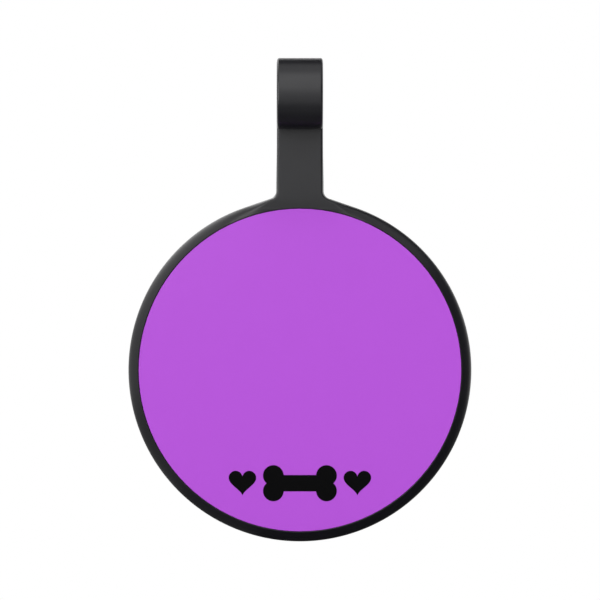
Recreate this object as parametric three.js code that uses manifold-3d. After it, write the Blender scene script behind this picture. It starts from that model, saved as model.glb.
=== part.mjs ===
// A round pet tag: a silicone holder grips a laminate plate, and its strap rolls over into a collar loop.
// Millimetres, +Z up. The origin is the middle of the loop, and the tag's face looks along -Y.
import * as THREE from 'three';
import { mergeVertices } from 'three/addons/utils/BufferGeometryUtils.js';
import Module from 'manifold-3d';

const wasm = await Module();
wasm.setup();

// The plate: three layers of engraving laminate, with a tongue left round the edge of the middle one.
const faceDiameter = 37.6;
const capThickness = 0.2;
const coreThickness = 2.6;
const tongueReach = 0.4;
const tongueThickness = 0.6;

// The rim, whose lips lie beside the plate's faces and whose groove takes the tongue.
const rimWidth = 1.2;
const lipProud = 0.05;
const lipNoseRadius = 0.06;
const plateClearance = 0.05;

// The neck and the strap.
const neckLength = 12.2;
const neckRootWidth = 5.5;
const neckFillet = 0.96;
const shoulderAngle = THREE.MathUtils.degToRad(19);
const strapWidth = 5.35;
const strapThickness = 1.1;
const strapEdgeRounding = 0.28;
const loopOpening = 6;

// How steeply an edge leaves its face: 0 is a round edge, and more is a blunt wedge, as on the rim.
const rimSlope = 0.6;
const strapSlope = 0;

// Where the strap bends open: an angle above the loop's middle at its back, and the cut that stands for it.
const bendAngle = THREE.MathUtils.degToRad(30);
const bendGap = 0.3;

// The tab, its slot and the head that locks it.
const tabWidth = 2.6;
const tabThickness = 0.7;
const tabEdgeRounding = 0.35;
const slotClearance = 0.13;
const slotEndClearance = 0.3;
const shoulderClearance = 0.3;
const headWidth = 4.2;
const headHeight = 2.4;
const headThickness = 0.9;
const headClearance = 0.2;
const headRounding = 0.5;
const headToTaper = 0.85;

// How finely curves are cut.
const rimSegments = 96;
const beadSteps = 7;
const noseSteps = 3;
const edgeSteps = 4;
const shoulderSteps = 5;
const filletSteps = 8;
const taperSteps = 8;
const arcStep = THREE.MathUtils.degToRad(7.5);
const headSteps = 6;

// Sizes that follow.
const faceRadius = faceDiameter / 2;
const tagRadius = faceRadius + rimWidth;
const tongueRadius = faceRadius + tongueReach;
const plateThickness = coreThickness + 2 * capThickness;
const rimThickness = plateThickness + 2 * lipProud;
const lipRadius = faceRadius + plateClearance;
const grooveRadius = tongueRadius + plateClearance;
const grooveHeight = tongueThickness + 2 * plateClearance;
const beadInnerRadius = lipRadius + lipNoseRadius;
const beadWidth = tagRadius - beadInnerRadius;
const loopInnerRadius = loopOpening / 2;
const loopMidRadius = loopInnerRadius + strapThickness / 2;
const neckFront = loopInnerRadius;
const neckBack = neckFront + strapThickness;
const discZ = -(neckLength + tagRadius);
const discY = neckFront + rimThickness / 2;
const coreHalf = coreThickness / 2;
const plateHalf = plateThickness / 2;
const halfGapAngle = bendGap / loopMidRadius / 2;

// Materials.
const silicone = new THREE.MeshStandardMaterial({ color: 0x2c2c2e, roughness: 0.7, metalness: 0 });
const purpleCap = new THREE.MeshStandardMaterial({ color: 0xb758da, roughness: 0.55, metalness: 0 });
const blackCore = new THREE.MeshStandardMaterial({ color: 0x1b1b1d, roughness: 0.6, metalness: 0 });

// A geometry with shared corners and no flat triangles.
function welded(geometry) {
  const bare = new THREE.BufferGeometry();
  bare.setAttribute('position', geometry.getAttribute('position'));
  bare.setIndex(geometry.getIndex());
  const merged = mergeVertices(bare);
  const old = merged.getIndex().array;
  const kept = [];
  for (let i = 0; i < old.length; i += 3) {
    const [a, b, c] = old.slice(i, i + 3);
    if (a !== b && b !== c && c !== a) kept.push(a, b, c);
  }
  merged.setIndex(kept);
  merged.computeVertexNormals();
  return merged;
}

function solidOf(geometry) {
  const mesh = welded(geometry);
  return new wasm.Manifold(new wasm.Mesh({
    numProp: 3,
    vertProperties: new Float32Array(mesh.getAttribute('position').array),
    triVerts: new Uint32Array(mesh.getIndex().array),
  }));
}

function geometryOf(solid) {
  const mesh = solid.getMesh();
  const geometry = new THREE.BufferGeometry();
  geometry.setAttribute('position', new THREE.BufferAttribute(mesh.vertProperties, mesh.numProp));
  geometry.setIndex(new THREE.BufferAttribute(mesh.triVerts, 1));
  geometry.computeVertexNormals();
  return geometry;
}

// Evenly spaced numbers from start to end, both included.
function spread(start, end, steps) {
  return Array.from({ length: steps + 1 }, (_, i) => start + (end - start) * i / steps);
}

// A solid through a row of closed sections, each with as many points as the next.
function loft(sections) {
  const count = sections[0].length;
  const index = [];
  for (let k = 0; k + 1 < sections.length; k++) {
    for (let i = 0; i < count; i++) {
      const a = k * count + i;
      const b = k * count + (i + 1) % count;
      index.push(a, b, b + count, a, b + count, a + count);
    }
  }
  const last = (sections.length - 1) * count;
  for (let i = 1; i + 1 < count; i++) {
    index.push(0, i + 1, i);
    index.push(last, last + i, last + i + 1);
  }
  const geometry = new THREE.BufferGeometry().setFromPoints(sections.flat());
  geometry.setIndex(index);
  return geometry;
}

// How far an edge stands out, and how far through the thickness it is, from 0 to 1.
// Each half is a parabola that leaves its face at the slope and ends square to it.
function edgeShares(slope, halfSteps) {
  const near = spread(0, 1, halfSteps).map((share) => [
    share * (2 - share), (share ** 2 + 2 * slope * share * (1 - share)) / 2]);
  const far = near.slice(0, -1).map(([out, through]) => [out, 1 - through]);
  return [...near, ...far.reverse()];
}

// A band with a flat inner and outer face and rounded edges, alike on both sides of the tag.
// The right edge starts at a corner of the inner face, swells by the bulge and ends one outward vector on.
function bandSection(corner, bulge, outward, slope = strapSlope) {
  const mirror = new THREE.Vector3(-1, 1, 1);
  const right = edgeShares(slope, edgeSteps).map(([out, through]) => corner.clone()
    .addScaledVector(bulge, out)
    .addScaledVector(outward, through));
  const left = right.map((point) => point.clone().multiply(mirror)).reverse();
  return [...right, ...left];
}

// A level section of the neck, whose front stays in one plane.
function neckSection(z, halfWidth, rounding, thickness) {
  return bandSection(
    new THREE.Vector3(halfWidth - rounding, neckFront, z),
    new THREE.Vector3(rounding, 0, 0),
    new THREE.Vector3(0, thickness, 0));
}

// The strap's section at an angle round the loop, from its back over its crown.
function loopSection(angle) {
  const radial = new THREE.Vector3(0, Math.cos(angle), Math.sin(angle));
  const corner = radial.clone().multiplyScalar(loopInnerRadius);
  corner.x = strapWidth / 2 - strapEdgeRounding;
  const bulge = new THREE.Vector3(strapEdgeRounding, 0, 0);
  return bandSection(corner, bulge, radial.multiplyScalar(strapThickness));
}

function loopArc(from, to) {
  return spread(from, to, Math.ceil((to - from) / arcStep)).map(loopSection);
}

// A solid of revolution about the tag's axis, from pairs of radius and depth behind its middle plane.
function turned(profile) {
  const points = profile.map(([radius, depth]) => new THREE.Vector2(radius, depth));
  return new THREE.LatheGeometry(points, rimSegments).translate(0, discY, discZ);
}

function disc(radius, front, back) {
  return turned([[0, front], [radius, front], [radius, back], [0, back]]);
}

// The rim as a whole disc, flat on both faces, with a wedge-shaped bead round its edge.
function rimBlank() {
  const half = rimThickness / 2;
  const bead = edgeShares(rimSlope, beadSteps).map(([out, through]) => [
    beadInnerRadius + beadWidth * out, rimThickness * through - half]);
  return turned([[0, -half], ...bead, [0, half]]);
}

// What is cut from the disc: openings in front and behind with rounded lips, and the tongue's groove.
function rimBore() {
  const half = rimThickness / 2;
  const nose = spread(0, Math.PI / 2, noseSteps).map((turn) => [
    beadInnerRadius - lipNoseRadius * Math.sin(turn), half - lipNoseRadius * (1 - Math.cos(turn))]);
  const behind = [[0, half + rimWidth], [beadInnerRadius, half + rimWidth], ...nose,
    [lipRadius, grooveHeight / 2], [grooveRadius, grooveHeight / 2]];
  const before = behind.map(([radius, depth]) => [radius, -depth]);
  return turned([...before, ...behind.reverse()]);
}

// The neck from inside the disc up to the strap, and on round the back of the loop to the bend.
// Straight shoulders leave the rim at an angle from its top, and fillets turn them up into the neck's sides.
// The rim's bead runs up the shoulders and narrows to the strap's own edge, so the neck's flat front widens.
function neckAndStub() {
  const filletX = neckRootWidth / 2 + neckFillet;
  const filletTurn = Math.PI / 2 - shoulderAngle;
  const toShoulder = filletX * Math.cos(filletTurn) - neckFillet;
  const filletZ = discZ + (tagRadius - toShoulder) / Math.sin(filletTurn);
  const taperTop = -(loopMidRadius + headHeight / 2 + headToTaper);
  const depth = new THREE.Vector3(0, rimThickness, 0);
  const filletCentre = new THREE.Vector3(filletX, neckFront, filletZ);
  const sideways = new THREE.Vector3(Math.sin(shoulderAngle), 0, Math.cos(shoulderAngle));
  const shoulderStart = new THREE.Vector3(0, neckFront, discZ).addScaledVector(sideways, tagRadius);
  const shoulderEnd = filletCentre.clone().addScaledVector(sideways, -neckFillet);
  const shoulder = spread(0, 1, shoulderSteps).map((share) => {
    const eased = THREE.MathUtils.smoothstep(share, 0, 1);
    const rounding = THREE.MathUtils.lerp(beadWidth, strapEdgeRounding, eased);
    const corner = shoulderStart.clone().lerp(shoulderEnd, share).addScaledVector(sideways, -rounding);
    const slope = THREE.MathUtils.lerp(rimSlope, strapSlope, eased);
    return bandSection(corner, sideways.clone().multiplyScalar(rounding), depth, slope);
  });
  const fillet = spread(filletTurn, 0, filletSteps).slice(1).map((turn) => {
    const inward = new THREE.Vector3(-Math.cos(turn), 0, -Math.sin(turn));
    const corner = filletCentre.clone().addScaledVector(inward, neckFillet + strapEdgeRounding);
    return bandSection(corner, inward.multiplyScalar(-strapEdgeRounding), depth);
  });
  const rootZ = discZ + lipRadius * Math.cos(shoulderAngle) - rimWidth;
  const root = neckSection(rootZ, filletX, beadWidth, rimThickness);
  const taper = spread(0, 1, taperSteps).slice(1).map((share) => {
    const eased = THREE.MathUtils.smoothstep(share, 0, 1);
    return neckSection(
      THREE.MathUtils.lerp(filletZ, taperTop, share),
      THREE.MathUtils.lerp(neckRootWidth, strapWidth, eased) / 2,
      strapEdgeRounding,
      THREE.MathUtils.lerp(rimThickness, strapThickness, eased));
  });
  return loft([root, ...shoulder, ...fillet, ...taper, ...loopArc(0, bendAngle - halfGapAngle)]);
}

// An oval with rounded ends, upright across the neck behind or through its slot.
function oval(y, width, height) {
  return bandSection(
    new THREE.Vector3((width - height) / 2, y, height / 2 - loopMidRadius),
    new THREE.Vector3(height / 2, 0, 0),
    new THREE.Vector3(0, 0, -height));
}

function siliconeFrame() {
  const slotWidth = tabWidth + 2 * slotEndClearance;
  const slotHeight = tabThickness + 2 * slotClearance;
  const slotDepths = [neckFront - strapThickness, neckBack + strapThickness];
  const slot = loft(slotDepths.map((y) => oval(y, slotWidth, slotHeight)));
  const whole = solidOf(rimBlank()).add(solidOf(neckAndStub()));
  return geometryOf(whole.subtract(solidOf(rimBore())).subtract(solidOf(slot)));
}

// The strap from the bend over the crown, down the front and back under to its shoulder, then the tab.
function loopTongue() {
  const shoulder = neckFront - shoulderClearance;
  const tabInset = (strapThickness - tabThickness) / 2;
  const levelSection = (y, inset, halfWidth, rounding) => bandSection(
    new THREE.Vector3(halfWidth - rounding, y, -loopInnerRadius - inset),
    new THREE.Vector3(rounding, 0, 0),
    new THREE.Vector3(0, 0, 2 * inset - strapThickness));
  return loft([
    ...loopArc(bendAngle + halfGapAngle, 1.5 * Math.PI),
    levelSection(shoulder, 0, strapWidth / 2, strapEdgeRounding),
    levelSection(shoulder, tabInset, tabWidth / 2, tabEdgeRounding),
    levelSection(neckBack + headClearance, tabInset, tabWidth / 2, tabEdgeRounding),
  ]);
}

// A flat front against the tab, straight sides, and a rounded back so that it can be pulled through.
function lockHead() {
  const front = neckBack + headClearance;
  const sideEnd = front + headThickness - headRounding;
  const round = spread(0, Math.PI / 2, headSteps).map((turn) => {
    const narrowed = 2 * headRounding * (1 - Math.cos(turn));
    return oval(sideEnd + headRounding * Math.sin(turn), headWidth - narrowed, headHeight - narrowed);
  });
  return loft([oval(front, headWidth, headHeight), ...round]);
}

function named(name, geometry, material) {
  const mesh = new THREE.Mesh(welded(geometry), material);
  mesh.name = name;
  return mesh;
}

// The black middle of the plate, with its tongue.
function plateCore() {
  const before = [[0, -coreHalf], [faceRadius, -coreHalf], [faceRadius, -tongueThickness / 2],
    [tongueRadius, -tongueThickness / 2]];
  const behind = before.map(([radius, depth]) => [radius, -depth]);
  return turned([...before, ...behind.reverse()]);
}

const tag = new THREE.Group();
tag.add(
  named('silicone_frame', siliconeFrame(), silicone),
  named('face_layer', disc(faceRadius, -plateHalf, -coreHalf), purpleCap),
  named('plate_core', plateCore(), blackCore),
  named('rear_layer', disc(faceRadius, coreHalf, plateHalf), purpleCap),
  named('loop_tongue', loopTongue(), silicone),
  named('lock_head', lockHead(), silicone),
);

export default tag;
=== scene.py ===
from math import cos, pi, radians, sin

import bmesh
import bpy
import numpy as np
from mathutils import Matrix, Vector


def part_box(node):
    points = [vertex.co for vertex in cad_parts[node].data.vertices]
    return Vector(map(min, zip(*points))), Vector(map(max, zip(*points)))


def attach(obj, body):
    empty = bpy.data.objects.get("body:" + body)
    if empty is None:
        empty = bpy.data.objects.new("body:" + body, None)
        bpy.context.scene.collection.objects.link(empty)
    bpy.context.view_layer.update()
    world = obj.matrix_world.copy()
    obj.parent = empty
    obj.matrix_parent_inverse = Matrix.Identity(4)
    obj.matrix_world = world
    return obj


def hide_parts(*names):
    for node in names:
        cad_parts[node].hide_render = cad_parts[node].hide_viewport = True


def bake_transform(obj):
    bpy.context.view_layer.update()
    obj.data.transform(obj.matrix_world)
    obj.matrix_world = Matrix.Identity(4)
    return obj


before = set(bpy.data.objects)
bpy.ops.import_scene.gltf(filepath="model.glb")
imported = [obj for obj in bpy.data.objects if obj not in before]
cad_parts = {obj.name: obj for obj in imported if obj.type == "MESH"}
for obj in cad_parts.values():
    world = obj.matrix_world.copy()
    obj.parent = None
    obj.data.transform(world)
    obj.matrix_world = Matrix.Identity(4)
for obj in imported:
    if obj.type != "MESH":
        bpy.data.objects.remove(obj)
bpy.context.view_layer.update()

mm = 0.001
white = (1, 1, 1, 1)

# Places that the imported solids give
frameLow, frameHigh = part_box("silicone_frame")
headLow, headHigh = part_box("lock_head")
faceLow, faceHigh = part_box("face_layer")
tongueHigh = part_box("loop_tongue")[1]
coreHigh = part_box("plate_core")[1]

tagRadius = frameHigh.x
discZ = frameLow.z + tagRadius
loopOuter = tongueHigh.z
strapHalf = tongueHigh.x
headZ = (headLow.z + headHigh.z) / 2


class Wire:
    # One output of a shader node; sums and products of wires add Math nodes
    def __init__(self, graph, socket):
        self.graph = graph
        self.socket = socket

    def maths(self, operation, first, second):
        return self.graph.node("ShaderNodeMath", {"operation": operation}, {0: first, 1: second})

    def __add__(self, other):
        return self.maths("ADD", self, other)

    def __radd__(self, other):
        return self.maths("ADD", other, self)

    def __sub__(self, other):
        return self.maths("SUBTRACT", self, other)

    def __rsub__(self, other):
        return self.maths("SUBTRACT", other, self)

    def __mul__(self, other):
        return self.maths("MULTIPLY", self, other)

    def __rmul__(self, other):
        return self.maths("MULTIPLY", other, self)


class Graph:
    # The node tree of a material or of the world
    def __init__(self, owner):
        owner.use_nodes = True
        self.tree = owner.node_tree
        self.tree.nodes.clear()

    def node(self, kind, settings=None, sockets=None, output=0):
        made = self.tree.nodes.new(kind)
        for name, value in (settings or {}).items():
            setattr(made, name, value)
        for name, value in (sockets or {}).items():
            if isinstance(value, Wire):
                self.tree.links.new(value.socket, made.inputs[name])
            else:
                made.inputs[name].default_value = value
        return Wire(self, made.outputs[output]) if made.outputs else None

    def objectPlace(self):
        return self.node("ShaderNodeTexCoord", output="Object")

    def noise(self, size, detail):
        # Noise on Object coordinates, at a scale of one over its size
        sockets = {"Vector": self.objectPlace(), "Scale": 1 / size, "Detail": detail}
        return self.node("ShaderNodeTexNoise", {}, sockets)

    def blendColour(self, share, first, second):
        return self.node("ShaderNodeMix", {"data_type": "RGBA"}, {0: share, 6: first, 7: second}, 2)

    def principled(self, sockets):
        return self.node("ShaderNodeBsdfPrincipled", {}, sockets)

    def whiteGlow(self, level):
        return self.node("ShaderNodeEmission", {}, {"Color": white, "Strength": level})


def makeMaterial(name, shaderOf):
    # A material whose surface is the shader that a function adds to its graph
    material = bpy.data.materials.new(name)
    graph = Graph(material)
    graph.node("ShaderNodeOutputMaterial", {}, {"Surface": shaderOf(graph)})
    return material


def grainBump(graph, grain, finish):
    # The fine grain as a height
    sockets = {"Strength": finish["grainStrength"], "Distance": finish["grainDepth"], "Height": grain}
    return graph.node("ShaderNodeBump", {}, sockets)


def unevenGloss(noise, finish):
    # Roughness that follows a noise to both sides of its middle value
    return (noise - 0.5) * finish["roughnessSpread"] + finish["roughness"]


# The soft black holder
silicone = {
    "dark": (0.0040, 0.0040, 0.0066, 1),
    "pale": (0.0062, 0.0062, 0.0090, 1),
    "roughness": 0.36,
    "roughnessSpread": 0.08,
    "ior": 1.45,
    "cloudSize": 2.2 * mm,   # patches where the skin is a little duller
    "cloudDetail": 4,
    "cloudShare": 0.6,       # of the change of colour; the grain has the rest
    "grainSize": 0.10 * mm,  # spark texture of the mould
    "grainDetail": 2,
    "grainDepth": 0.004 * mm,
    "grainStrength": 0.5,
}


def siliconeShader(graph):
    # From dark to pale by clouds and grain, with gloss that follows the clouds
    cloud = graph.noise(silicone["cloudSize"], silicone["cloudDetail"])
    grain = graph.noise(silicone["grainSize"], silicone["grainDetail"])
    shade = cloud * silicone["cloudShare"] + grain * (1 - silicone["cloudShare"])
    return graph.principled({
        "Base Color": graph.blendColour(shade, silicone["dark"], silicone["pale"]),
        "Roughness": unevenGloss(cloud, silicone),
        "IOR": silicone["ior"],
        "Normal": grainBump(graph, grain, silicone),
    })


# The purple skins of the plate
laminate = {
    "deep": (0.446, 0.054, 0.688, 1),
    "bright": (0.474, 0.064, 0.726, 1),
    "roughness": 0.42,
    "roughnessSpread": 0.06,
    "cloudSize": 4.0 * mm,
    "cloudDetail": 3,
    "cloudShare": 0.4,       # of the change of colour; the grain has the rest
    "grainSize": 0.12 * mm,  # satin texture of the skin
    "grainDetail": 2,
    "grainDepth": 0.003 * mm,
    "grainStrength": 0.4,
}


def laminateShader(graph):
    # From deep to bright by clouds and grain, with gloss that follows the clouds
    cloud = graph.noise(laminate["cloudSize"], laminate["cloudDetail"])
    grain = graph.noise(laminate["grainSize"], laminate["grainDetail"])
    shade = cloud * laminate["cloudShare"] + grain * (1 - laminate["cloudShare"])
    return graph.principled({
        "Base Color": graph.blendColour(shade, laminate["deep"], laminate["bright"]),
        "Roughness": unevenGloss(cloud, laminate),
        "Normal": grainBump(graph, grain, laminate),
    })


# The black middle of the plate
core = {
    "dark": (0.0012, 0.0012, 0.0014, 1),
    "pale": (0.0025, 0.0025, 0.0028, 1),
    "roughness": 0.55,
    "roughnessSpread": 0.15,
    "specularLevel": 0.04,
    "grainSize": 0.06 * mm,  # marks of the cutter
    "grainDetail": 3,
    "grainDepth": 0.004 * mm,
    "grainStrength": 0.6,
}


def coreShader(graph):
    # From dark to pale by the grain, with gloss that follows it too
    grain = graph.noise(core["grainSize"], core["grainDetail"])
    return graph.principled({
        "Base Color": graph.blendColour(grain, core["dark"], core["pale"]),
        "Roughness": unevenGloss(grain, core),
        "Specular IOR Level": core["specularLevel"],
        "Normal": grainBump(graph, grain, core),
    })


siliconeSkin = makeMaterial("silicone_skin", siliconeShader)
purpleSkin = makeMaterial("purple_skin", laminateShader)
blackCore = makeMaterial("black_core_cut", coreShader)
print("materials made")


# How grids of points become pieces
meshing = {
    "mergeDistance": 0.0002 * mm,  # points nearer than this are one
    "sharpAngle": radians(40),     # an edge that bends by more stays sharp
    "roundingSteps": 6,
}
quarterTurn = np.linspace(0, pi / 2, meshing["roundingSteps"])  # round a small edge


def patch(grid, closed=True, kept=None):
    # A grid of points, whether its last column joins its first, and which of its quads stay if not all do
    return grid, closed, kept


def gridQuads(rows, columns, first, closed):
    # Corner numbers of the quads between neighbouring rows and columns, round to the first column if closed
    across = np.arange(columns if closed else columns - 1)
    along = np.arange(rows - 1)[:, None] * columns + first
    near, far = along + across, along + (across + 1) % columns
    return np.stack([near, far, far + columns, near + columns], axis=-1)


def makePiece(name, patches, material):
    # Grids of points become quads; edges that meet are merged and faces turned outwards
    points, quads, first = [], [], 0
    for grid, closed, kept in patches:
        rows, columns = grid.shape[:2]
        corners = gridQuads(rows, columns, first, closed)
        quads.append(corners.reshape(-1, 4) if kept is None else corners[kept])
        points.append(grid.reshape(-1, 3))
        first += rows * columns
    mesh = bpy.data.meshes.new(name)
    mesh.from_pydata(np.concatenate(points), [], np.concatenate(quads))
    shell = bmesh.new()
    shell.from_mesh(mesh)
    bmesh.ops.remove_doubles(shell, verts=shell.verts, dist=meshing["mergeDistance"])
    bmesh.ops.recalc_face_normals(shell, faces=shell.faces)
    shell.to_mesh(mesh)
    shell.free()
    mesh.polygons.foreach_set("use_smooth", np.ones(len(mesh.polygons), dtype=bool))
    mesh.set_sharp_from_angle(angle=meshing["sharpAngle"])
    mesh.materials.append(material)
    piece = bpy.data.objects.new(name, mesh)
    bpy.context.scene.collection.objects.link(piece)
    return piece


def smoothShare(share, low=0, high=1):
    # 0 below low, 1 above high, and 3 s^2 - 2 s^3 between them
    share = np.clip((share - low) / (high - low), 0, 1)
    return share * share * (3 - 2 * share)


# The strap's section and the path of its loop
strap = {
    "thickness": 1.1 * mm,
    "edgeRounding": 0.28 * mm,
    "lowRounding": 0.18 * mm,     # of the edge under the loop
    "partingHeight": 0.016 * mm,  # ridge that the two mould halves leave round the edge
    "partingWidth": 0.04 * mm,
    "shoulderAngle": radians(19),  # from the rim's top, where its edge leaves the circle for the neck
    "flatSteps": 25,
}
neckFront = loopOuter - strap["thickness"]
# Shares of half an edge, closer together at the ridge
edgeShares = np.concatenate([np.linspace(0, 0.9, 13), [0.93, 0.96, 0.98, 1]])
edgeCount = 2 * len(edgeShares) - 1


def edgeShape(slope, thickness):
    # Both halves of an edge are parabolas that leave the face at a slope and end square to it.
    # At share t along, out is 1 - (1 - t)^2 and through is (t^2 + 2 slope t (1 - t)) / 2.
    # Also gives the parting ridge, a bell round the middle.
    halfOut = np.broadcast_to(1 - (1 - edgeShares) ** 2, slope.shape[:1] + edgeShares.shape)
    halfThrough = (edgeShares ** 2 + 2 * slope * edgeShares * (1 - edgeShares)) / 2
    out = np.concatenate([halfOut, halfOut[:, -2::-1]], axis=1)
    through = np.concatenate([halfThrough, 1 - halfThrough[:, -2::-1]], axis=1)
    ridge = strap["partingHeight"] * np.exp(-((through - 0.5) * thickness / strap["partingWidth"]) ** 2)
    return out, through, ridge


def rollPath(turn):
    # The loop's circle, y = cos turn and z = sin turn from its back over its crown:
    # points on the strap's inner face, and the way out from there
    outward = np.stack([0 * turn, np.cos(turn), np.sin(turn)], axis=1)
    return outward * neckFront, outward


# Points across the strap's flats lie as the rim's arc between the shoulders does, which rises in its middle
shoulderAngle = strap["shoulderAngle"]
flatShares = np.linspace(1, -1, strap["flatSteps"])
flatAcross = np.sin(shoulderAngle * flatShares) / sin(shoulderAngle)
flatRise = (np.cos(shoulderAngle * flatShares) - cos(shoulderAngle)) / (1 - cos(shoulderAngle))
flatCount = strap["flatSteps"] - 2  # without the corners, which belong to the edges


def bandRings(corner, bulge, outward, lift=None, slope=0):
    # Closed sections of a band, a row of each array per section: right edge, back, left edge, front.
    # An edge starts at its corner, swells by bulge and ends one outward vector on.
    # A flat joins the corners, raised in its middle by lift as an arc of the rim is.
    stand = np.linalg.norm(bulge, axis=1)[:, None]
    thickness = np.linalg.norm(outward, axis=1)[:, None]
    out, through, ridge = edgeShape(slope + 0 * stand, thickness)
    swell = out + ridge / stand
    right = corner[:, None] + bulge[:, None] * swell[..., None] + outward[:, None] * through[..., None]
    left = right[:, ::-1] * np.array([-1, 1, 1])
    flat = np.repeat(corner[:, None], flatCount, axis=1)
    flat[..., 0] *= flatAcross[1:-1]
    if lift is not None:
        flat[..., 2] += lift[:, None] * flatRise[1:-1]
    back = flat + outward[:, None]
    return np.concatenate([right, back, left, flat[:, ::-1]], axis=1)


def capRow(ring):
    # A row with every point at the ring's middle, which closes an end
    return np.broadcast_to(ring.mean(axis=0), ring.shape)[None]


def ovalReach(angle, halfSpan, radius):
    # From an oval's centre to its edge in each direction: two half circles joined by straight sides
    tiny = 1e-9  # keeps the sides' formula from dividing by zero
    across, up = np.abs(np.cos(angle)), np.maximum(np.abs(np.sin(angle)), tiny)
    side = radius / up
    end = halfSpan * across + np.sqrt(np.maximum(radius ** 2 - (halfSpan * up) ** 2, 0))
    return np.where(side * across <= halfSpan, side, end)


def lockRings(reach, angle, y):
    # Rings round the lock's middle line: x = reach cos a, z = its height + reach sin a, a row for each y
    return np.stack([reach * np.cos(angle), y[:, None] + 0 * reach, headZ + reach * np.sin(angle)], axis=-1)


# The holder: rim, shoulders, neck with its slot, and the back of the loop
holder = {
    "plateGap": 0.05 * mm,      # between the plate and the lips and groove that hold it
    "lipNose": 0.06 * mm,
    "rimSlope": 0.6,            # how steeply the rim's edge leaves its lips
    "fadeAngle": radians(32),   # from the rim's top, where that slope starts to fade towards the neck
    "fadeShare": 0.7,           # of the shoulder's length, where it is gone
    "plateEdge": 0.6 * mm,      # thickness of the plate's edge in the groove
    "rootHalf": 2.75 * mm,
    "fillet": 0.96 * mm,        # between the rim's shoulder and the neck
    "taperTop": -5.6 * mm,      # the neck is as thin as the strap above this
    "slotWidth": 3.2 * mm,
    "slotHeight": 0.96 * mm,
    "slotRounding": 0.04 * mm,
    "slotMargin": 0.35 * mm,    # of the neck's faces that the slot's mouth takes up round it
    "bendTurn": radians(30),    # of the hinge round the loop from its back
    "bendReach": 2.4 * mm,      # of the strap each side of the hinge that bends when the loop opens; here it only sets bendHalf, which no piece uses
    "rimSteps": 240,
    "shoulderSteps": 25,
    "filletSteps": 18,
    "taperSteps": 17,
    "strapSteps": 27,
    "loopSteps": 25,
}
rimDepth = frameHigh.y - neckFront
lipRadius = faceHigh.x + holder["plateGap"]
beadRadius = lipRadius + holder["lipNose"]
beadWidth = tagRadius - beadRadius
flatHalf = strapHalf - strap["edgeRounding"]

# The shoulders are tangent to the rim's circle and end where the fillets start
shoulderAim = np.array([sin(shoulderAngle), 0, cos(shoulderAngle)])
filletX = holder["rootHalf"] + holder["fillet"]
filletZ = discZ + (tagRadius + holder["fillet"] - filletX * sin(shoulderAngle)) / cos(shoulderAngle)
filletMiddle = np.array([filletX, neckFront, filletZ])
shoulderStart = np.array([0, neckFront, discZ]) + shoulderAim * tagRadius
shoulderEnd = filletMiddle - shoulderAim * holder["fillet"]
shoulderLength = np.linalg.norm(shoulderEnd - shoulderStart)


def edgeSlope(past):
    # The rim's slope, fading smoothly to none on the shoulder; past is the distance from the shoulder's start
    fadeStart = (shoulderAngle - holder["fadeAngle"]) * tagRadius
    fadeEnd = holder["fadeShare"] * shoulderLength
    return holder["rimSlope"] * (1 - smoothShare(past, fadeStart, fadeEnd))


def shoulderSections():
    # Straight from the rim's circle to the fillet, while the bead narrows to the strap's edge
    share = np.linspace(0, 1, holder["shoulderSteps"])[:, None]
    rounding = beadWidth + smoothShare(share) * (strap["edgeRounding"] - beadWidth)
    corner = shoulderStart + share * (shoulderEnd - shoulderStart) - shoulderAim * rounding
    return corner, shoulderAim * rounding, edgeSlope(share * shoulderLength)


def filletSections():
    # The strap's edge goes round the fillet's middle: cosine along x, sine along z
    turn = (pi / 2 - shoulderAngle) * np.linspace(1, 0, holder["filletSteps"])[1:, None]
    inward = -np.concatenate([np.cos(turn), 0 * turn, np.sin(turn)], axis=1)
    corner = filletMiddle + inward * (holder["fillet"] + strap["edgeRounding"])
    return corner, -inward * strap["edgeRounding"]


def neckGrid():
    # Sections over the shoulders and fillets, up the taper and the straight strap, and round the loop's back
    shoulderCorner, shoulderBulge, shoulderSlope = shoulderSections()
    filletCorner, filletBulge = filletSections()
    rootCorner = np.concatenate([shoulderCorner, filletCorner])
    rootLift = np.linspace(discZ + beadRadius, filletZ, len(rootCorner)) - rootCorner[:, 2]

    # The taper eases from the root's width and the rim's depth to the strap's
    share = np.linspace(0, 1, holder["taperSteps"])[1:]
    eased = smoothShare(share)
    taperHalf = holder["rootHalf"] + eased * (strapHalf - holder["rootHalf"]) - strap["edgeRounding"]
    taperZ = filletZ + share * (holder["taperTop"] - filletZ)
    taperDepth = rimDepth + eased * (strap["thickness"] - rimDepth)
    strapZ = np.linspace(holder["taperTop"], 0, holder["strapSteps"])[1:]

    straightHalf = np.concatenate([taperHalf, np.full_like(strapZ, flatHalf)])
    straightZ = np.concatenate([taperZ, strapZ])
    straightCorner = np.stack([straightHalf, np.full_like(straightZ, neckFront), straightZ], axis=1)
    loopInner, loopOut = rollPath(np.linspace(0, pi / 2, holder["loopSteps"])[1:])
    loopCorner = loopInner + np.array([flatHalf, 0, 0])

    corner = np.concatenate([rootCorner, straightCorner, loopCorner])
    plainCount = len(straightCorner) + len(loopCorner)
    plainBulge = np.repeat([[strap["edgeRounding"], 0, 0]], plainCount, axis=0)
    bulge = np.concatenate([shoulderBulge, filletBulge, plainBulge])
    rootDepth = np.full(len(rootCorner), rimDepth)
    straightDepth = np.concatenate([rootDepth, taperDepth, np.full_like(strapZ, strap["thickness"])])
    straightOut = straightDepth[:, None] * np.array([[0, 1, 0]])
    outward = np.concatenate([straightOut, loopOut * strap["thickness"]])
    lift = np.concatenate([rootLift, np.zeros(plainCount)])
    slope = np.concatenate([shoulderSlope, np.zeros((len(filletCorner) + plainCount, 1))])
    return bandRings(corner, bulge, outward, lift, slope)


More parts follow.
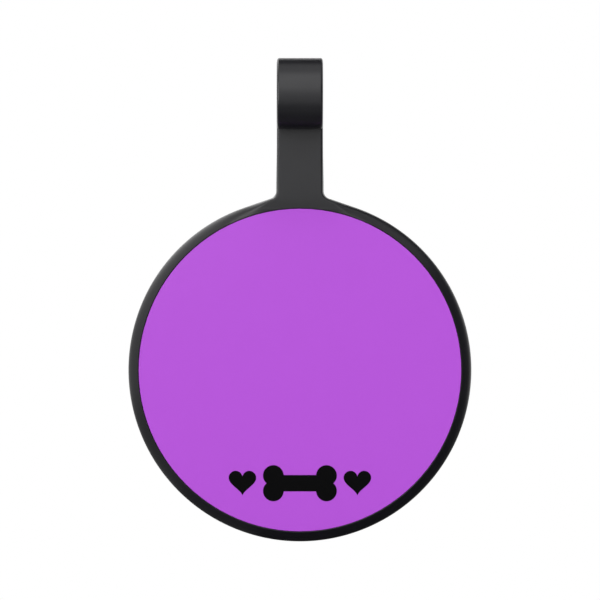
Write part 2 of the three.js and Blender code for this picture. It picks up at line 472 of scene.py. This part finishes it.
def slotPatches(neck):
    # A block of the neck's front and back quads is left out, and an oval tunnel joins the two gaps
    backStart, frontStart = edgeCount, 2 * edgeCount + flatCount
    halfWidth, halfHeight = holder["slotWidth"] / 2, holder["slotHeight"] / 2
    beside = np.flatnonzero(np.abs(flatAcross[1:-1] * flatHalf) < halfWidth + holder["slotMargin"])
    around = np.flatnonzero(np.abs(neck[:, 0, 2] - headZ) < halfHeight + holder["slotMargin"])
    low, high, left, right = around[0], around[-1], beside[0], beside[-1]
    kept = np.ones((len(neck) - 1, neck.shape[1]), dtype=bool)
    kept[low:high, backStart + left:backStart + right] = False
    kept[low:high, frontStart + left:frontStart + right] = False

    # The tunnel runs from the gap's border through rounded mouths to the same border behind
    block = neck[low:high + 1, frontStart + left:frontStart + right + 1]
    border = np.concatenate([block[0, :-1], block[:-1, -1], block[-1, :0:-1], block[:0:-1, 0]])
    angle = np.arctan2(border[:, 2] - headZ, border[:, 0])
    wider = holder["slotRounding"] * (1 - np.sin(quarterTurn))
    sunk = holder["slotRounding"] * (1 - np.cos(quarterTurn))
    radius = halfHeight + np.concatenate([wider, wider[::-1]])
    y = np.concatenate([neckFront + sunk, neckFront + strap["thickness"] - sunk[::-1]])
    hole = lockRings(ovalReach(angle, halfWidth - halfHeight, radius[:, None]), angle, y)
    behind = border + np.array([0, strap["thickness"], 0])
    tunnel = np.concatenate([border[None], hole, behind[None]])
    return [patch(neck, kept=kept), patch(tunnel)]


def turned(radii, depths, angles):
    # A profile turned about the disc's middle: x = r sin a, z = disc + r cos a, a row for each of its points
    flatX, flatZ = radii * np.sin(angles), discZ + radii * np.cos(angles)
    return np.stack([flatX, np.broadcast_to(neckFront + depths, flatX.shape), flatZ], axis=-1)


def rimPatches():
    # Two lips with a groove between them turned all round, and the bead where no neck grows out of it
    grooveRadius = coreHigh.x + holder["plateGap"]
    groove = (rimDepth - holder["plateEdge"]) / 2 - holder["plateGap"]
    grooveRadii = [lipRadius, grooveRadius, grooveRadius, lipRadius]
    grooveDepth = [groove, groove, rimDepth - groove, rimDepth - groove]
    noseRadii = beadRadius - holder["lipNose"] * np.sin(quarterTurn)
    noseSunk = holder["lipNose"] * (1 - np.cos(quarterTurn))
    lipRadii = np.concatenate([noseRadii, grooveRadii, noseRadii[::-1]])
    lipDepth = np.concatenate([noseSunk, grooveDepth, rimDepth - noseSunk[::-1]])

    beadAngles = np.linspace(shoulderAngle, 2 * pi - shoulderAngle, holder["rimSteps"] + 1)
    rimAngles = np.concatenate([shoulderAngle * flatShares[::-1], beadAngles[1:-1]])
    lips = turned(lipRadii[:, None], lipDepth[:, None], rimAngles)
    fromTop = np.minimum(beadAngles, 2 * pi - beadAngles)
    slope = edgeSlope((shoulderAngle - fromTop) * tagRadius)
    out, through, ridge = edgeShape(slope[:, None], rimDepth)
    beads = turned(beadRadius + beadWidth * out.T + ridge.T, rimDepth * through.T, beadAngles)
    return [patch(lips), patch(beads, closed=False)]


neckRings = neckGrid()
crownCap = np.concatenate([neckRings[-1:], capRow(neckRings[-1])])
holderPatches = slotPatches(neckRings) + rimPatches() + [patch(crownCap)]
holderPiece = makePiece("holder_skin", holderPatches, siliconeSkin)
bendOut = rollPath(np.array([holder["bendTurn"]]))[1][0]
bendHalf = Vector((0, -bendOut[2], bendOut[1])) * holder["bendReach"]
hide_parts("silicone_frame")
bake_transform(holderPiece)
print("holder made:", len(holderPiece.data.polygons), "faces")


# The strap's free end: over the crown, down in front, back under, and the tab
tongue = {
    "shoulderGap": 0.3 * mm,    # from the neck to where the strap ends and the tab starts
    "endRounding": 0.16 * mm,
    "tabHalf": 1.3 * mm,
    "tabThickness": 0.7 * mm,
    "tabRounding": 0.35 * mm,
    "tabFillet": 0.14 * mm,
    "tabInHead": 0.08 * mm,
    "rollSteps": 61,
    "tailSteps": 12,
    "tabSteps": 8,
}


def sideways(x):
    # Vectors along x alone, a row for each
    return np.stack([x, 0 * x, 0 * x], axis=1)


def straightRows(y, halfFlat, rounding, upper, thickness):
    # Corners, bulges and outward vectors of level sections, a row for each y; their outer side is below
    corner = np.stack([halfFlat + 0 * y, y, upper + 0 * y], axis=1)
    outward = np.stack([0 * y, 0 * y, -thickness + 0 * y], axis=1)
    return np.stack([corner, sideways(rounding + 0 * y), outward])


def tonguePatches():
    # The band goes round the front of the loop and back under it.
    # Its end is rounded over, and a thinner tab goes on from there into the head.
    lowEdge = strap["lowRounding"]
    turn = np.linspace(pi / 2, 1.5 * pi, tongue["rollSteps"])
    loopInner, loopOut = rollPath(turn)
    edge = strap["edgeRounding"] + (lowEdge - strap["edgeRounding"]) * smoothShare(turn, pi, 1.5 * pi)
    bent = np.stack([loopInner + sideways(strapHalf - edge), sideways(edge), loopOut * strap["thickness"]])

    shoulderY = neckFront - tongue["shoulderGap"]
    tailY = np.linspace(0, shoulderY - tongue["endRounding"], tongue["tailSteps"])[1:]
    endY = shoulderY - tongue["endRounding"] * (1 - np.sin(quarterTurn[1:]))
    shrink = np.concatenate([0 * tailY, tongue["endRounding"] * (1 - np.cos(quarterTurn[1:]))])
    tail = straightRows(np.concatenate([tailY, endY]), strapHalf - lowEdge, lowEdge - shrink,
                        -neckFront - shrink, strap["thickness"] - 2 * shrink)

    filletY = shoulderY + tongue["tabFillet"] * (1 - np.cos(quarterTurn))
    tabY = np.linspace(filletY[-1], headLow.y + tongue["tabInHead"], tongue["tabSteps"])[1:]
    grow = np.concatenate([tongue["tabFillet"] * (1 - np.sin(quarterTurn)), 0 * tabY])
    tab = straightRows(np.concatenate([filletY, tabY]), tongue["tabHalf"] - tongue["tabRounding"],
                       tongue["tabRounding"] + grow, headZ + tongue["tabThickness"] / 2 + grow,
                       tongue["tabThickness"] + 2 * grow)

    rings = bandRings(*np.concatenate([bent, tail, tab], axis=1))
    return [patch(np.concatenate([capRow(rings[0]), rings, capRow(rings[-1])]))]


tonguePiece = makePiece("strap_front", tonguePatches(), siliconeSkin)
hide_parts("loop_tongue")
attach(tonguePiece, "tongue")
print("strap made:", len(tonguePiece.data.polygons), "faces")


# The oval head on the tab, behind the neck
lockHead = {
    "innerRounding": 0.12 * mm,
    "outerRounding": 0.5 * mm,
    "crown": 0.06 * mm,
    "steps": 96,
    "roundingSteps": 9,
    "crownSteps": 7,
}


def headPatches():
    # Ovals stacked from the side against the neck to the crowned outer side, closed at both middles
    radius = (headHigh.z - headLow.z) / 2
    halfSpan = headHigh.x - radius
    angle = np.linspace(0, 2 * pi, lockHead["steps"], endpoint=False)
    curve = np.linspace(0, pi / 2, lockHead["roundingSteps"])
    inner, outer = lockHead["innerRounding"], lockHead["outerRounding"]
    narrower = np.concatenate([inner * (1 - np.sin(curve)), outer * (1 - np.cos(curve))])
    innerY = headLow.y + inner * (1 - np.cos(curve))
    outerY = headHigh.y - lockHead["crown"] - outer * (1 - np.sin(curve))
    reach = ovalReach(angle, halfSpan, (radius - narrower)[:, None])
    crownShare = np.linspace(1, 0, lockHead["crownSteps"])[1:]
    crownY = headHigh.y - lockHead["crown"] * crownShare ** 2
    reach = np.concatenate([0 * reach[:1], reach, reach[-1:] * crownShare[:, None]])
    y = np.concatenate([innerY[:1], innerY, outerY, crownY])
    return [patch(lockRings(reach, angle, y))]


headPiece = makePiece("lock_head_skin", headPatches(), siliconeSkin)
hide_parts("lock_head")
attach(headPiece, "tongue")
print("lock head made")


# A bone between two hearts on the face
motif = {
    "z": -45.4 * mm,
    "proud": 0.03 * mm,
    "sunk": 0.05 * mm,
    "boneLobe": 1.2 * mm,       # radius of the four knobs
    "boneLobeX": 3.1 * mm,
    "boneLobeZ": 0.9 * mm,
    "boneShaft": 0.95 * mm,     # half its height
    "boneSteps": 161,
    "heartHalf": 1.6 * mm,
    "heartX": 6.7 * mm,
    "heartSteps": 120,
}
motifFront, motifBack = faceLow.y - motif["proud"], faceLow.y + motif["sunk"]


def bonePatches():
    # At each x a box section from the notch, or the middle line, up to the taller of shaft and knob.
    # A knob is a circle about its own middle, and the same is mirrored below.
    lobe, lobeX, lobeZ = motif["boneLobe"], motif["boneLobeX"], motif["boneLobeZ"]
    x = (lobeX + lobe) * np.sin(np.linspace(-pi / 2, pi / 2, motif["boneSteps"]))
    pastLobe = np.abs(x) - lobeX
    knob = np.sqrt(np.maximum(lobe ** 2 - pastLobe ** 2, 0))
    knobTop = np.where(pastLobe > -lobe, lobeZ + knob, 0)
    shaftTop = np.where(pastLobe < 0, motif["boneShaft"], 0)
    top = np.maximum(knobTop, shaftTop)
    notch = np.where(pastLobe > 0, np.maximum(lobeZ - knob, 0), 0)
    height = np.stack([notch, notch, top, top], axis=1)
    depth = np.broadcast_to([motifBack, motifFront, motifFront, motifBack], height.shape)
    across = np.broadcast_to(x[:, None], height.shape)
    return [patch(np.stack([across, depth, motif["z"] + side * height], axis=-1)) for side in (1, -1)]


def heartPatches(middleX):
    # Outline x = 16 sine cubed and z = a sum of cosines, in sixteenths of half its width, raised so that
    # it sits on the motif's middle line; filled from a middle point in front and behind
    turn = np.linspace(0, 2 * pi, motif["heartSteps"], endpoint=False)
    unit = motif["heartHalf"] / 16
    x = motif["heartHalf"] * np.sin(turn) ** 3
    z = unit * (13 * np.cos(turn) - 5 * np.cos(2 * turn) - 2 * np.cos(3 * turn) - np.cos(4 * turn) + 2.5)
    share = np.array([0, 1, 1, 0])[:, None]
    depth = np.array([motifFront, motifFront, motifBack, motifBack])[:, None]
    return [patch(np.stack([middleX + share * x, depth + 0 * x, motif["z"] + share * z], axis=-1))]


marks = {
    "bone_mark": bonePatches(),
    "heart_mark_left": heartPatches(-motif["heartX"]),
    "heart_mark_right": heartPatches(motif["heartX"]),
}
for name, patches in marks.items():
    mark = makePiece(name, patches, blackCore)
    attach(mark, "holder")
print("motif made")

# The plate's layers stay as packed, with new finishes
plateFinishes = {"face_layer": purpleSkin, "rear_layer": purpleSkin, "plate_core": blackCore}
for node, material in plateFinishes.items():
    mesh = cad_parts[node].data
    mesh.materials.clear()
    mesh.materials.append(material)
print("plate finished")

# Floor, lamps, cards and camera
studio = {
    "floorZ": -64 * mm,
    "floorHalf": 6,
    "floorColour": (0.92, 0.92, 0.92, 1),
    "floorGlow": 0.7,           # share of the floor that is shown as plain white near the tag, rising to 1
    "floorFade": (0.07, 0.16),  # distances between which it rises
    "cardLift": 2 * mm,         # of the low cards over the floor
    "ambient": 0.52,
    "cameraDistance": 1.2,
    "frameWidth": 69.77 * mm,   # seen at the origin's distance
    "aimX": 0.01 * mm,
    "aimZ": -24.04 * mm,
    "clip": (0.05, 20),         # nearest and farthest that the camera sees
}
lamps = {
    "key": {"at": (-0.7, 0.45, 0.75), "size": 0.8, "power": 1.3},
    "top": {"at": (-0.1, -0.92, 0.82), "size": 1.3, "power": 6.7},
    "front": {"at": (0, -1.4, 0.1), "size": 0.9, "power": 1.3},
    "back": {"at": (-0.35, 1.0, 0.85), "size": 1.2, "power": 3.6},
}
facingUp, facingDown, facingLeft, facingRight = (0, 0, 1), (0, 0, -1), (-1, 0, 0), (1, 0, 0)
lowZ = studio["floorZ"] + studio["cardLift"]
cards = {  # sheets that only gloss sees, each with the brightness that it shows
    # Just over the floor: the lower rim turns dark above them, most at its right
    "low_card": {"at": (0.076, 0.002, lowZ), "half": (0.084, 0.022), "facing": facingUp, "level": 0.04},
    "rear_low_card": {"at": (0.076, 0.092, lowZ), "half": (0.084, 0.068), "facing": facingUp, "level": 0.2},
    "step_card": {"at": (0.076, -0.055, lowZ), "half": (0.084, 0.035), "facing": facingUp, "level": 0.35},
    "middle_low_card": {"at": (-0.019, 0.03, lowZ), "half": (0.011, 0.13), "facing": facingUp, "level": 0.15},
    "left_low_card": {"at": (-0.095, 0.03, lowZ), "half": (0.065, 0.13), "facing": facingUp, "level": 0.38},
    # Under the loop, between it and the disc
    "shelf_card": {
        "at": (0, -1 * mm, -13.35 * mm), "half": (4.6 * mm, 3.5 * mm), "facing": facingUp, "level": 0.13},
    # Beside and above the rim
    "right_card": {"at": (0.16, -0.19, -0.2), "half": (0.27, 0.3), "facing": facingLeft, "level": 0.11},
    "high_card": {"at": (0.33, 0.25, 0.25), "half": (0.45, 0.17), "facing": facingDown, "level": 0.04},
    "right_high_card": {"at": (0.21, -0.3, 0.25), "half": (0.14, 0.3), "facing": facingDown, "level": 0.7},
    "left_high_card": {"at": (-0.24, -0.3, 0.25), "half": (0.11, 0.3), "facing": facingDown, "level": 0.76},
    "left_side_card": {"at": (-0.3, 0.12, -0.1), "half": (0.28, 0.15), "facing": facingRight, "level": 0.77},
    # Close to the strap: the light line on its left edge
    "left_card": {
        "at": (-30 * mm, -28 * mm, 2 * mm), "half": (8 * mm, 18 * mm), "facing": facingRight, "level": 9},
}


def makeSheet(name, at, half, facing, material):
    # A flat rectangle facing one way: its middle plus and minus half its width and half its height
    turn = Vector(facing).to_track_quat("Z", "Y")
    halves = np.array([turn @ Vector((half[0], 0, 0)), turn @ Vector((0, half[1], 0))])
    signs = np.array([(-1, -1), (1, -1), (1, 1), (-1, 1)])
    mesh = bpy.data.meshes.new(name)
    mesh.from_pydata(np.array(at) + signs @ halves, [], [(0, 1, 2, 3)])
    mesh.materials.append(material)
    sheet = bpy.data.objects.new(name, mesh)
    bpy.context.scene.collection.objects.link(sheet)
    return sheet


def shownDirectly(graph):
    # 1 for rays from the camera and for reflected and refracted views, 0 for light on its way
    rays = ("Is Camera Ray", "Is Glossy Ray", "Is Transmission Ray")
    camera, glossy, transmitted = [graph.node("ShaderNodeLightPath", output=ray) for ray in rays]
    return graph.node("ShaderNodeMath", {"operation": "MINIMUM"}, {0: camera + glossy + transmitted, 1: 1})


def floorShader(graph):
    # Plain white where it is shown, more of it further from the tag, and a lit pale floor otherwise
    lit = graph.node("ShaderNodeBsdfDiffuse", {}, {"Color": studio["floorColour"]})
    away = graph.node("ShaderNodeVectorMath", {"operation": "LENGTH"}, {0: graph.objectPlace()}, "Value")
    near, far = studio["floorFade"]
    sockets = {"Value": away, "From Min": near, "From Max": far, "To Min": studio["floorGlow"], "To Max": 1}
    plain = graph.node("ShaderNodeMapRange", {}, sockets)
    share = shownDirectly(graph) * plain
    return graph.node("ShaderNodeMixShader", {}, {0: share, 1: lit, 2: graph.whiteGlow(1)})


floorMaterial = makeMaterial("pale_floor", floorShader)
floorHalf = studio["floorHalf"]
makeSheet("floor", (0, 0, studio["floorZ"]), (floorHalf, floorHalf), facingUp, floorMaterial)

for name, card in cards.items():
    cardMaterial = makeMaterial(name, lambda graph: graph.whiteGlow(card["level"]))
    sheet = makeSheet(name, card["at"], card["half"], card["facing"], cardMaterial)
    sheet.visible_camera = False
    sheet.visible_diffuse = False
    sheet.visible_transmission = False
    sheet.visible_shadow = False

world = bpy.data.worlds.new("studio")
bpy.context.scene.world = world
graph = Graph(world)
shown = shownDirectly(graph)
strength = shown + (1 - shown) * studio["ambient"]
background = graph.node("ShaderNodeBackground", {}, {"Color": white, "Strength": strength})
graph.node("ShaderNodeOutputWorld", {}, {"Surface": background})

for name, lamp in lamps.items():
    light = bpy.data.lights.new(name, "AREA")
    light.shape = "DISK"
    light.size = lamp["size"]
    light.energy = lamp["power"]
    lampObject = bpy.data.objects.new(name, light)
    lampAim = Vector((0, 0, studio["aimZ"])) - Vector(lamp["at"])
    lampObject.location = lamp["at"]
    lampObject.rotation_euler = lampAim.to_track_quat("-Z", "Y").to_euler()
    lampObject.visible_camera = False
    bpy.context.scene.collection.objects.link(lampObject)

lens = bpy.data.cameras.new("camera")
lens.lens = lens.sensor_width * studio["cameraDistance"] / studio["frameWidth"]
lens.clip_start, lens.clip_end = studio["clip"]
camera = bpy.data.objects.new("camera", lens)
camera.location = (studio["aimX"], -studio["cameraDistance"], studio["aimZ"])
camera.rotation_euler = (pi / 2, 0, 0)
bpy.context.scene.collection.objects.link(camera)
bpy.context.scene.camera = camera
bpy.context.scene.view_settings.view_transform = "Standard"
print("studio made")
